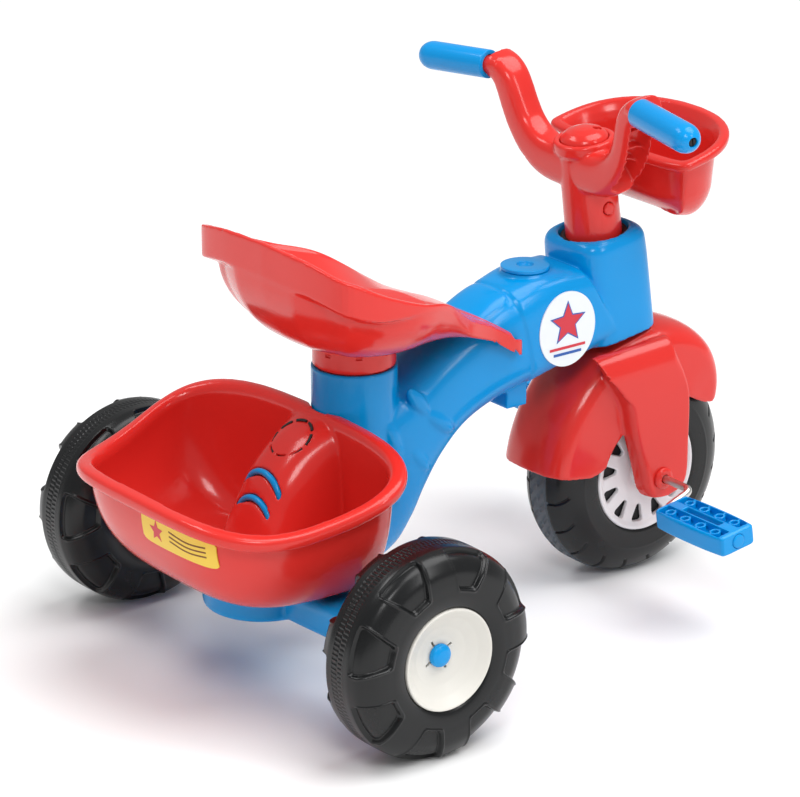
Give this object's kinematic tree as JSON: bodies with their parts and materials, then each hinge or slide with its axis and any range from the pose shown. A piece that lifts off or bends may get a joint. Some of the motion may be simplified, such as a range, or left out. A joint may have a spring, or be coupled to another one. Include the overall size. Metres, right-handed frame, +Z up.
{
  "type": "children's tricycle",
  "caption": "Moulded plastic pedal tricycle with a steered front wheel, cranked pedals, a dished saddle, a rear tub behind it and a small basket on the handlebar.",
  "frame": {"origin": "on the floor under the middle of the overall box", "axes": "+X to the rider's left, -Y forward, +Z up"},
  "size_m": [0.54, 0.6978, 0.5234],
  "materials": {
    "red_plastic": "gloss",
    "blue_plastic": "gloss",
    "black_plastic": "satin",
    "white_plastic": "satin",
    "steel": "bright",
    "yellow_label": "satin",
    "white_label": "satin",
    "grey_plastic": "satin"
  },
  "bodies": {
    "chassis": {"frame": "blue_plastic", "frame_top_plug": "blue_plastic", "side_badge_left": "white_label", "side_badge_right": "white_label", "basket_clip_upper": "blue_plastic", "basket_clip_lower": "blue_plastic", "rear_axle": "steel", "head_bush_upper": "grey_plastic", "head_bush_lower": "grey_plastic", "seat": "red_plastic", "rear_basket": "red_plastic", "rear_label": "yellow_label", "axle_nut_left": "steel", "axle_nut_right": "steel"},
    "rear_wheel_left": {"rear_tyre_left": "black_plastic", "rear_disc_left": "white_plastic", "rear_cap_left": "blue_plastic", "rear_bush_left": "grey_plastic"},
    "rear_wheel_right": {"rear_tyre_right": "black_plastic", "rear_disc_right": "white_plastic", "rear_cap_right": "blue_plastic", "rear_bush_right": "grey_plastic"},
    "steering": {"fork": "red_plastic", "axle_collar_left": "red_plastic", "axle_collar_right": "red_plastic", "handlebar": "red_plastic", "stem_cap": "red_plastic", "stem_cap_screw": "steel", "grip_left": "blue_plastic", "grip_right": "blue_plastic", "grip_screw_left": "steel", "grip_screw_right": "steel", "front_basket": "red_plastic"},
    "lock_button": {"lock_button": "red_plastic"},
    "front_wheel": {"front_tyre": "black_plastic", "front_rim_left": "white_plastic", "front_rim_right": "white_plastic", "crank": "steel", "pedal_nut_left": "steel", "pedal_nut_right": "steel"},
    "pedal_left": {"pedal_left": "blue_plastic", "pedal_cap_left": "blue_plastic"},
    "pedal_right": {"pedal_right": "blue_plastic", "pedal_cap_right": "blue_plastic"}
  },
  "joints": [
    {"name": "steering_turn", "type": "hinge", "parent": "chassis", "child": "steering", "pos_m": [0, -0.1943, 0.371], "axis": [0, 0.1426, 0.9898], "range_deg": [-35, 35]},
    {"name": "front_wheel_spin", "type": "hinge", "parent": "steering", "child": "front_wheel", "pos_m": [0, -0.2386, 0.1103], "axis": [1, 0, 0], "continuous": true},
    {"name": "pedal_left_spin", "type": "hinge", "parent": "front_wheel", "child": "pedal_left", "pos_m": [0.16, -0.2716, 0.1223], "axis": [1, 0, 0], "continuous": true},
    {"name": "pedal_right_spin", "type": "hinge", "parent": "front_wheel", "child": "pedal_right", "pos_m": [-0.16, -0.2056, 0.0983], "axis": [1, 0, 0], "continuous": true},
    {"name": "rear_wheel_left_spin", "type": "hinge", "parent": "chassis", "child": "rear_wheel_left", "pos_m": [0.2317, 0.1909, 0.1], "axis": [1, 0, 0], "continuous": true},
    {"name": "rear_wheel_right_spin", "type": "hinge", "parent": "chassis", "child": "rear_wheel_right", "pos_m": [-0.2317, 0.1909, 0.1], "axis": [1, 0, 0], "continuous": true},
    {"name": "lock_button_press", "type": "slide", "parent": "steering", "child": "lock_button", "axis": [1, 0, 0], "range_m": [0, 0.003], "stiffness_N_per_m": 300}
  ]
}
